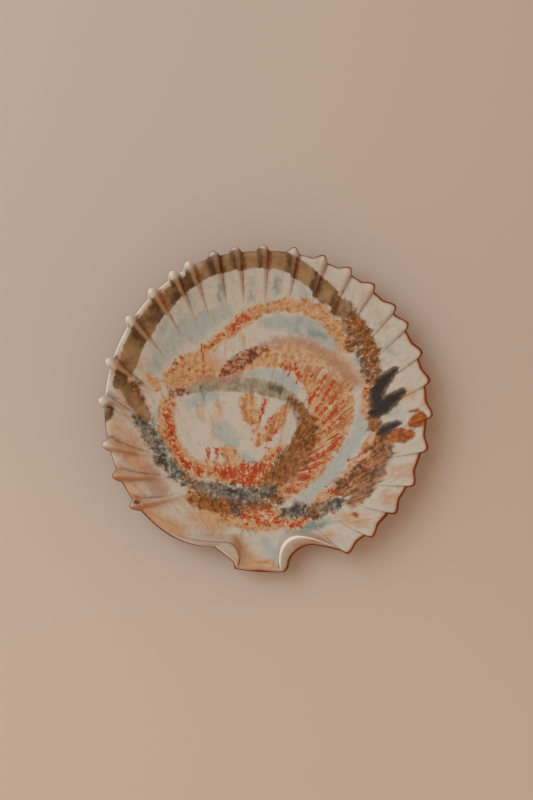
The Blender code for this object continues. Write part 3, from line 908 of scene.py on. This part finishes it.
def painted_field(points, softness, strokes):
    """1 inside the strokes and 0 outside them, with soft edges."""
    field = np.zeros(len(points))
    for stroke in strokes:
        for start, end in zip(stroke, stroke[1:]):
            start, end = np.array(start, dtype=float), np.array(end, dtype=float)
            along = end[:2] - start[:2]
            share = np.clip((points - start[:2]) @ along / max(along @ along, 1e-9), 0.0, 1.0)
            distance = np.linalg.norm(points - start[:2] - share[:, None] * along, axis=1)
            width = mix(start[2], end[2], share)
            field = np.maximum(field, np.clip(0.5 + (width - distance) / (2 * softness), 0.0, 1.0))
    return field


def streak_lines(points):
    """Where a point stands across and along the brush strokes, which fan out from the neck."""
    x, y = points[:, 0], points[:, 1]
    right = ease((x + 2) / 34) * ease((90 - y) / 60)
    far_right = ease((x - y - 105) / 30)
    hub_x = mix(-20.0, 0.0, right)
    hub_y = mix(-165.0, mix(-70.0, -120.0, far_right), right)
    usual_reach = 110
    across = np.arctan2(x - hub_x, y - hub_y) * usual_reach
    along = np.hypot(x - hub_x, y - hub_y)
    return across, along


def paint_attributes(data, shell, column, row, places):
    """Keep on each vertex where it stands in the rim and how much of each colour lies there."""
    millimetres = places[column, row] * 1000
    camera = np.array(CAMERA) * 1000
    spread = (camera[2] - DRAWING_HEIGHT * 1000) / (camera[2] - millimetres[:, 2:])
    seen = camera[:2] + (millimetres[:, :2] - camera[:2]) * spread
    after, before, angle, pleated = (
        getattr(shell, name)[column, 0] for name in ("after", "before", "angle", "pleated")
    )
    bold = boldness(angle)
    radius = np.linalg.norm(seen, axis=1)
    across_pleat = after / (after + before)
    climb = 5.0 * (across_pleat - 0.5) * pleated * within(radius, 80, 40, 150, 40)
    painted = seen * (1 - climb / np.maximum(radius, 1.0))[:, None]

    inside = row < shell.nose_row
    values = {}
    for name, (softness, *strokes) in FIELDS.items():
        values[name] = painted_field(painted, softness, strokes) * inside
    values["across"], values["along"] = streak_lines(seen)
    run = shell.run[column, row]
    from_edge = np.abs(run - shell.run[column, shell.nose_row]) * 1000
    values["edge"] = np.clip(from_edge, 0.0, 60.0)
    # Width in millimetres of the iron line along the rim: wider on the faint side, where it is partly iron and
    # partly painted shade on the rim's far side
    values["line"] = mix(3.3, 1.3, bold)
    values["ridge"] = shell.ridges[column, row]
    values["bold"] = bold * pleated
    values["clay"] = (row >= shell.foot_row + 3).astype(float)
    values["under"] = (row >= shell.back_row).astype(float)
    degrees = np.degrees(angle) % 360
    left = within(degrees, 108, 12, 200, 10) * pleated
    values["lip"] = within(degrees, 112, 8, 181, 3) * pleated
    near_next = ease(1 - (before - 0.003) / mix(0.007, 0.026, left))
    near_last = ease(1 - (after - 0.004) / 0.006) * mix(0.9, 0.2, left)
    values["pool"] = pleated * np.maximum(near_next, near_last)
    values["left"] = left
    depth = np.linalg.norm(places[column, row, :2] - shell.crest[column, 0], axis=1)
    low_left = within(degrees, 190, 8, 250, 8)
    low_right = within(degrees, 318, 12, 353, 12)
    # Painted shadow: deep orange in the hollow before each pleat on the lower left, where the cord shades it;
    # on the lower right, the glaze's faint orange stripes along the pleats
    shadow = low_left * ease(1 - (before - 0.003) / 0.012) * ease(1.4 - depth / 0.04)
    stripe = hump(across_pleat - 0.5, 0.06) + hump(across_pleat - 0.78, 0.05)
    values["glow"] = (shadow + 0.6 * low_right * stripe * ease(1 - depth / 0.034)) * pleated * inside
    share, narrowing = shell.ridge_run(depth, angle)
    width = fold_width(angle) * narrowing
    on_pleat = pleated * inside * (row > 0)
    values["crease"] = hump(after - width, 0.0008) * on_pleat * ease(1.6 * (1 - share))
    middle = np.minimum(np.abs(after - 0.3 * width), before) / (0.45 * width)
    values["cord"] = np.clip(1 - middle, 0.0, 1.0) * on_pleat * ease(1.2 - depth / 0.042)
    eared = np.clip((shell.fall[column, 0] - LIP_FALL) / 0.006, 0.0, 1.0) * (1 - pleated) * (row > 0)
    values["ear"] = eared * hump(depth, 0.0011)
    # Painted highlight: a white band on the outer side of the left ear
    beyond = (row >= shell.top_rows) & (row <= shell.nose_row)
    left_side = seen[:, 0] < 1000 * NECK_X
    values["white"] = eared * beyond * left_side * hump(from_edge - 3.0, 1.0)
    values["right_ear"] = (seen[:, 0] > 1000 * NECK_X).astype(float)
    for name, numbers in values.items():
        attribute = data.attributes.new(name, "FLOAT", "POINT")
        attribute.data.foreach_set("value", numbers.astype(np.float32))


class SHELLDISH_OT_dish(bpy.types.Operator):
    """Model the dish as one closed piece, in the place of its CAD solid"""

    bl_idname = "shelldish.dish"
    bl_label = "Dish"

    def execute(self, context):
        shell = Shell(context.scene.shell_dish_sizes)
        places = shell.surface()
        columns, rows = places.shape[:2]
        data = spun_plate(columns, rows)
        count = len(data.vertices)
        spun = np.empty(count * 3)
        data.vertices.foreach_get("co", spun)
        spun = spun.reshape(-1, 3)
        turn = np.arctan2(-spun[:, 1], spun[:, 0]) % math.tau
        column = np.round(turn / math.tau * columns).astype(int) % columns
        row = np.empty(count, dtype=np.int32)
        data.attributes["row"].data.foreach_get("value", row)
        data.vertices.foreach_set("co", places[column, row].ravel())
        data.attributes.remove(data.attributes["row"])
        paint_attributes(data, shell, column, row, places)
        data.shade_smooth()
        data.update()
        dish = bpy.data.objects.new("glazed_dish", data)
        context.scene.collection.objects.link(dish)
        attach(dish, "root")
        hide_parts("shell_dish")
        return {"FINISHED"}


class SHELLDISH_OT_glaze(bpy.types.Operator):
    """Give the dish its glaze: bands of cream, blue, orange and brown, and bare clay under the foot"""

    bl_idname = "shelldish.glaze"
    bl_label = "Glaze"

    def execute(self, context):
        chosen = context.scene.shell_dish_colours
        material = bpy.data.materials.new("reactive_glaze")
        material.use_nodes = True
        tree = material.node_tree
        tree.nodes.clear()

        def tone(name):
            """A chosen colour."""
            return tuple(getattr(chosen, name))

        def field(name):
            """What the mesh keeps under this name."""
            return read(tree, name)

        place = add_node(tree, "ShaderNodeTexCoord", {}, {}, output="Object")
        across, along = field("across"), field("along")

        def brushed(width, run):
            """Noise around 0 that is stretched along the brush strokes: its grain in millimetres."""
            grain = add_node(tree, "ShaderNodeCombineXYZ", {}, {0: across / width, 1: along / run, 2: width})
            return noise(tree, grain, 1.0) - 0.5

        fine, streak = brushed(1.2, 12.0), brushed(3.0, 26.0)
        mottle = noise(tree, place, 240.0, 3.0, 0.55, 0.8) - 0.5
        swirl = noise(tree, place, 150.0, 3.0, 0.55, 2.5) - 0.5
        blotch = noise(tree, place, 120.0, 3.0, 0.6) - 0.5
        cloud = noise(tree, place, 40.0, 3.0) - 0.5
        grain = noise(tree, place, 1100.0, 2.0) - 0.5
        brushy = field("brushed")
        smooth = cloud * 0.5 + blotch * 0.6 + mottle * 0.3
        ragged = blotch * 0.7 + swirl * 0.6 + mottle * 0.4 + (streak * 1.2 + fine * 0.4) * brushy

        def laid(name, edge, raggedness, low, high):
            """How much of a glaze lies here: its field, with an uneven edge."""
            amount = field(name)
            return step(amount + edge * raggedness, low, high) * step(amount, 0.0, 0.12)

        def tones(light, dark, variation, low, high):
            """A light and a dark colour of one glaze, by how it varies."""
            return blend(step(variation, low, high), tone(light), tone(dark))

        colour = tones("cream", "warm_cream", cloud * 0.8 + streak * 0.9 + fine * 0.4, -0.02, 0.36)
        colour = blend(step(blotch - streak, 0.0, 0.3) * 0.3, colour, tone("pale_blue"))
        haze = tones("orange", "deep_orange", streak, -0.2, 0.4)
        colour = blend(laid("haze", smooth, 0.8, 0.1, 0.9) * 0.8, colour, haze)
        blue = tones("pale_blue", "deep_blue", streak + cloud + field("deep") * 0.8, 0.0, 0.8)
        colour = blend(laid("blue", smooth, 0.9, 0.2, 0.9) * (0.9 + streak), colour, blue)
        variation = mottle * 0.8 + blotch * 0.6 + swirl * 0.3 + (streak * 1.6 + fine * 0.6) * brushy
        orange = tones("orange", "deep_orange", variation + brushy * 0.1, -0.16, 0.34)
        covered = step(variation + cloud * 0.5, -0.5, -0.12) * (0.94 - field("light") * 0.4)
        colour = blend(laid("orange", ragged, 0.9, 0.2, 0.75) * covered, colour, orange)
        grey = tones("grey", "deep_grey", blotch + streak + mottle * 0.5, -0.16, 0.2)
        colour = blend(laid("grey", smooth, 0.8, 0.24, 0.76) * 0.9, colour, grey)
        colour = blend(laid("pink", smooth, 0.8, 0.15, 0.95) * 0.7, colour, tone("pink"))
        variation = swirl + mottle * 1.1 + blotch * 0.6 + streak * brushy
        olive = tones("olive", "deep_olive", variation, -0.24, 0.2)
        covered = step(mottle * 1.2 + swirl * 0.7 + blotch * 0.5, -0.44, -0.1) * 0.92
        colour = blend(laid("olive", ragged, 1.2, 0.08, 0.85) * covered, colour, olive)
        maroon = tones("maroon", "deep_maroon", mottle * 1.3 + blotch, -0.14, 0.14)
        colour = blend(laid("maroon", smooth, 0.6, 0.1, 0.8) * 0.4, colour, tone("maroon"))
        covered = step(mottle * 1.4 + blotch * 0.6 + streak * 0.5, -0.34, 0.12)
        colour = blend(laid("maroon", ragged, 1.3, 0.2, 0.7) * covered * 0.9, colour, maroon)
        red = tones("red", "dark_red", mottle + fine, 0.05, 0.35)
        specks = field("red") * 0.72 + mottle * 1.3 + swirl * 1.3 + blotch * 0.7
        specks = specks + (streak * 1.6 + fine * 0.8) * brushy
        colour = blend(step(specks, 0.42, 0.78) * step(field("red"), 0.0, 0.12) * 0.9, colour, red)
        cells = add_node(tree, "ShaderNodeCombineXYZ", {}, {0: across / 4.6 + mottle * 0.5, 1: along / 30.0})
        reach = add_node(tree, "ShaderNodeTexVoronoi", {}, {"Vector": cells, "Scale": 1.0})
        dashes = step(0.5 * field("dash") - reach + mottle * 0.2 + fine * 0.15, 0.0, 0.1)
        colour = blend(dashes * 0.9, colour, tones("red", "dark_red", mottle + fine - 0.1, -0.2, 0.3))
        umber = tones("umber", "deep_umber", streak * 1.5 + fine * 0.6 + blotch * 0.8 + mottle, -0.3, 0.34)
        colour = blend(laid("umber", ragged, 1.1, 0.1, 0.8) * 0.9, colour, umber)
        marks = field("mark") + mottle * 1.3 + swirl * 0.5 + fine * 0.5
        marks = step(marks, 0.36, 0.6) * step(field("mark"), 0.1, 0.3)
        mark = tones("red", "dark_red", mottle + streak + field("olive") * 0.5, 0.1, 0.45)
        colour = blend(marks * 0.9, colour, mark)
        spot = tones("deep_orange", "iron", blotch + mottle - field("spot") * 0.3, -0.45, 0.0)
        colour = blend(laid("spot", smooth, 0.7, 0.25, 0.7), colour, spot)
        slate = tones("slate", "deep_slate", swirl * 1.2 + blotch + mottle * 0.6, -0.12, 0.3)
        covered = step(swirl + blotch + mottle * 0.5, -0.3, 0.02) * 0.9
        colour = blend(laid("slate", ragged, 1.3, 0.05, 0.9) * covered, colour, slate)
        colour = blend(laid("stain", smooth + streak, 1.0, 0.2, 0.9) * 0.7, colour, tone("deep_slate"))

        colour = blend(step(mottle + fine * 0.8 + swirl * 0.5, 0.04, 0.34) * 0.16, colour, tone("deep_olive"))
        colour = blend(step(fine * 0.8 - mottle - swirl * 0.5, 0.04, 0.34) * 0.16, colour, tone("pale"))

        ridge, bold, edge, left = field("ridge"), field("bold"), field("edge"), field("left")
        variation = field("pool") * 0.8 + cloud * 1.6 + blotch * 1.4 + mottle * 0.5
        brown = tones("brown", "deep_brown", variation, -0.35, 1.0)
        lip = field("lip") * (1 - step(edge + mottle * 2.0, 4.5, 8.0))
        colour = blend(laid("brown", smooth, 0.8, 0.3, 0.66) * (1 - lip), colour, brown)
        colour = blend(step(field("cord"), 0.1, 0.8) * bold * (0.5 + left * 0.25), colour, tone("cord"))
        # Pale on the knobs of the bold pleats, strongest on the left: partly the whiter glaze there, partly a
        # painted highlight
        knob = step(ridge, 0.45, 0.9) * (1 - step(edge + mottle * 2.0, 4.0, 14.0))
        colour = blend(knob * (0.15 + left * 0.7) * bold, colour, tone("pale"))
        # Painted shadow in the hollows of the lower left pleats, and the glaze's orange stripes on the lower
        # right
        colour = blend(field("glow") * 0.6, colour, tone("deep_orange"))
        dabs = (field("black") + ragged * 0.5) * step(field("black"), 0.0, 0.12)
        colour = blend(step(dabs, 0.08, 0.45) * 0.8, colour, tone("deep_olive"))
        colour = blend(step(dabs + mottle * 0.5, 0.3, 0.95) * 0.92, colour, tone("black"))
        iron = tones("iron", "dark_red", mottle + cloud, -0.1, 0.2)
        colour = blend(field("crease") * (0.45 + mottle) * (1 + bold * 0.3), colour, iron)
        line = field("line") + cloud * 2.0
        halo = (1 - step(edge + mottle * 2.0, line, line + 3.0)) * (1 - bold)
        colour = blend(halo * 0.6, colour, tone("deep_orange"))
        # The iron line along the rim; where it is widest it is partly painted shade
        colour = blend(1 - step(edge + mottle * 0.8, line - 0.6, line + 0.4), colour, iron)
        ear, right_ear = field("ear"), field("right_ear")
        colour = blend(ear * right_ear, colour, tone("highlight"))
        colour = blend(ear * (1 - right_ear) * 0.7, colour, tone("iron"))
        # Painted highlights: a thin strip along the edge of the left lip, and a band on the outer side of the
        # left ear
        shine = field("lip") * step(edge, 0.4, 1.2) * (1 - step(edge, 1.6, 3.0)) * 0.7
        colour = blend(shine + field("white") * 0.8, colour, tone("highlight"))
        honey = blend(step(cloud + streak, 0.0, 0.3) * 0.4, tone("honey"), tone("cream"))
        colour = blend(field("under") * step(edge + mottle * 4.0, 2.0, 7.0), colour, honey)
        bare = tones("clay", "iron", mottle + grain, 0.0, 0.5)
        clay = field("clay")
        colour = blend(clay, colour, bare)
        height = mottle * 0.4 + cloud * 2.0 + grain * clay
        bump = add_node(tree, "ShaderNodeBump", {}, {"Strength": 0.2, "Distance": 0.001, "Height": height})
        shader = add_node(
            tree,
            "ShaderNodeBsdfPrincipled",
            {},
            {
                "Base Color": colour,
                "Roughness": 0.42 + mottle * 0.2 + clay * 0.45,
                "Specular IOR Level": 0.09,
                "Normal": bump,
            },
        )
        add_node(tree, "ShaderNodeOutputMaterial", {}, {"Surface": shader})
        dish = bpy.data.objects["glazed_dish"]
        dish.data.materials.append(material)
        return {"FINISHED"}


class SHELLDISH_OT_stage(bpy.types.Operator):
    """Set up the plain floor, the soft light and the camera that looks straight down"""

    bl_idname = "shelldish.stage"
    bl_label = "Stage"

    def execute(self, context):
        scene = context.scene
        light = scene.shell_dish_light
        mesh = bmesh.new()
        bmesh.ops.create_grid(mesh, x_segments=1, y_segments=1, size=3.0)
        data = bpy.data.meshes.new("floor")
        mesh.to_mesh(data)
        mesh.free()
        floor = bpy.data.objects.new("floor", data)
        scene.collection.objects.link(floor)
        material = bpy.data.materials.new("floor_paint")
        material.use_nodes = True
        tree = material.node_tree
        tree.nodes.clear()
        place = add_node(tree, "ShaderNodeTexCoord", {}, {}, output="Object")
        paint = noise(tree, place, 260.0, 3.0)
        colour = tuple(scene.shell_dish_colours.floor)
        # Painted light: the floor is lighter towards -Y and darker towards +Y, as the light falls off
        lighter = tuple(part * 1.16 for part in colour)
        down = add_node(tree, "ShaderNodeSeparateXYZ", {}, {0: place}, output="Y") * -1
        shaded = blend(step(down + paint * 0.02, -0.15, 0.45), colour, lighter)
        bump = add_node(tree, "ShaderNodeBump", {}, {"Strength": 0.08, "Distance": 0.001, "Height": paint})
        shader = add_node(
            tree,
            "ShaderNodeBsdfPrincipled",
            {},
            {"Base Color": shaded, "Roughness": 0.85, "Normal": bump},
        )
        add_node(tree, "ShaderNodeOutputMaterial", {}, {"Surface": shader})
        data.materials.append(material)

        lamp = bpy.data.lights.new("key", "AREA")
        lamp.shape = "SQUARE"
        lamp.size = KEY_WIDTH
        lamp.energy = light.key
        lamp.color = KEY_COLOUR
        key = bpy.data.objects.new("key", lamp)
        key.location = KEY_PLACE
        key.rotation_euler = (Vector(KEY_TARGET) - key.location).to_track_quat("-Z", "Y").to_euler()
        scene.collection.objects.link(key)
        world = bpy.data.worlds.new("room")
        world.use_nodes = True
        background = world.node_tree.nodes["Background"]
        background.inputs["Color"].default_value = (*SKY_COLOUR, 1.0)
        background.inputs["Strength"].default_value = light.sky
        scene.world = world

        lens = bpy.data.cameras.new("camera")
        lens.sensor_fit = "VERTICAL"
        lens.sensor_height = 24.0
        distance = light.camera_height - DRAWING_HEIGHT
        lens.lens = 0.5 * lens.sensor_height * distance / FRAME_HALF_HEIGHT
        camera = bpy.data.objects.new("camera", lens)
        camera.location = (*CAMERA[:2], light.camera_height)
        scene.collection.objects.link(camera)
        scene.camera = camera
        scene.view_settings.view_transform = "Standard"
        return {"FINISHED"}


class SHELLDISH_PT_panel(bpy.types.Panel):
    """The dish's sizes, colours and steps"""

    bl_idname = "SHELLDISH_PT_panel"
    bl_label = "Shell dish"
    bl_space_type = "VIEW_3D"
    bl_region_type = "UI"
    bl_category = "Shell dish"

    def draw(self, context):
        layout = self.layout
        for group in ("shell_dish_sizes", "shell_dish_colours", "shell_dish_light"):
            box = layout.box()
            settings = getattr(context.scene, group)
            for name in settings.__annotations__:
                box.prop(settings, name)
        for operator in OPERATORS:
            layout.operator(operator.bl_idname)


OPERATORS = (SHELLDISH_OT_dish, SHELLDISH_OT_glaze, SHELLDISH_OT_stage)
CLASSES = (ShellDishSizes, ShellDishColours, ShellDishLight) + OPERATORS + (SHELLDISH_PT_panel,)


def register():
    for part in CLASSES:
        bpy.utils.register_class(part)
    bpy.types.Scene.shell_dish_sizes = PointerProperty(type=ShellDishSizes)
    bpy.types.Scene.shell_dish_colours = PointerProperty(type=ShellDishColours)
    bpy.types.Scene.shell_dish_light = PointerProperty(type=ShellDishLight)


def unregister():
    del bpy.types.Scene.shell_dish_light
    del bpy.types.Scene.shell_dish_colours
    del bpy.types.Scene.shell_dish_sizes
    for part in reversed(CLASSES):
        bpy.utils.unregister_class(part)


def main():
    register()
    bpy.ops.shelldish.dish()
    bpy.ops.shelldish.glaze()
    bpy.ops.shelldish.stage()


if __name__ == "__main__":
    main()
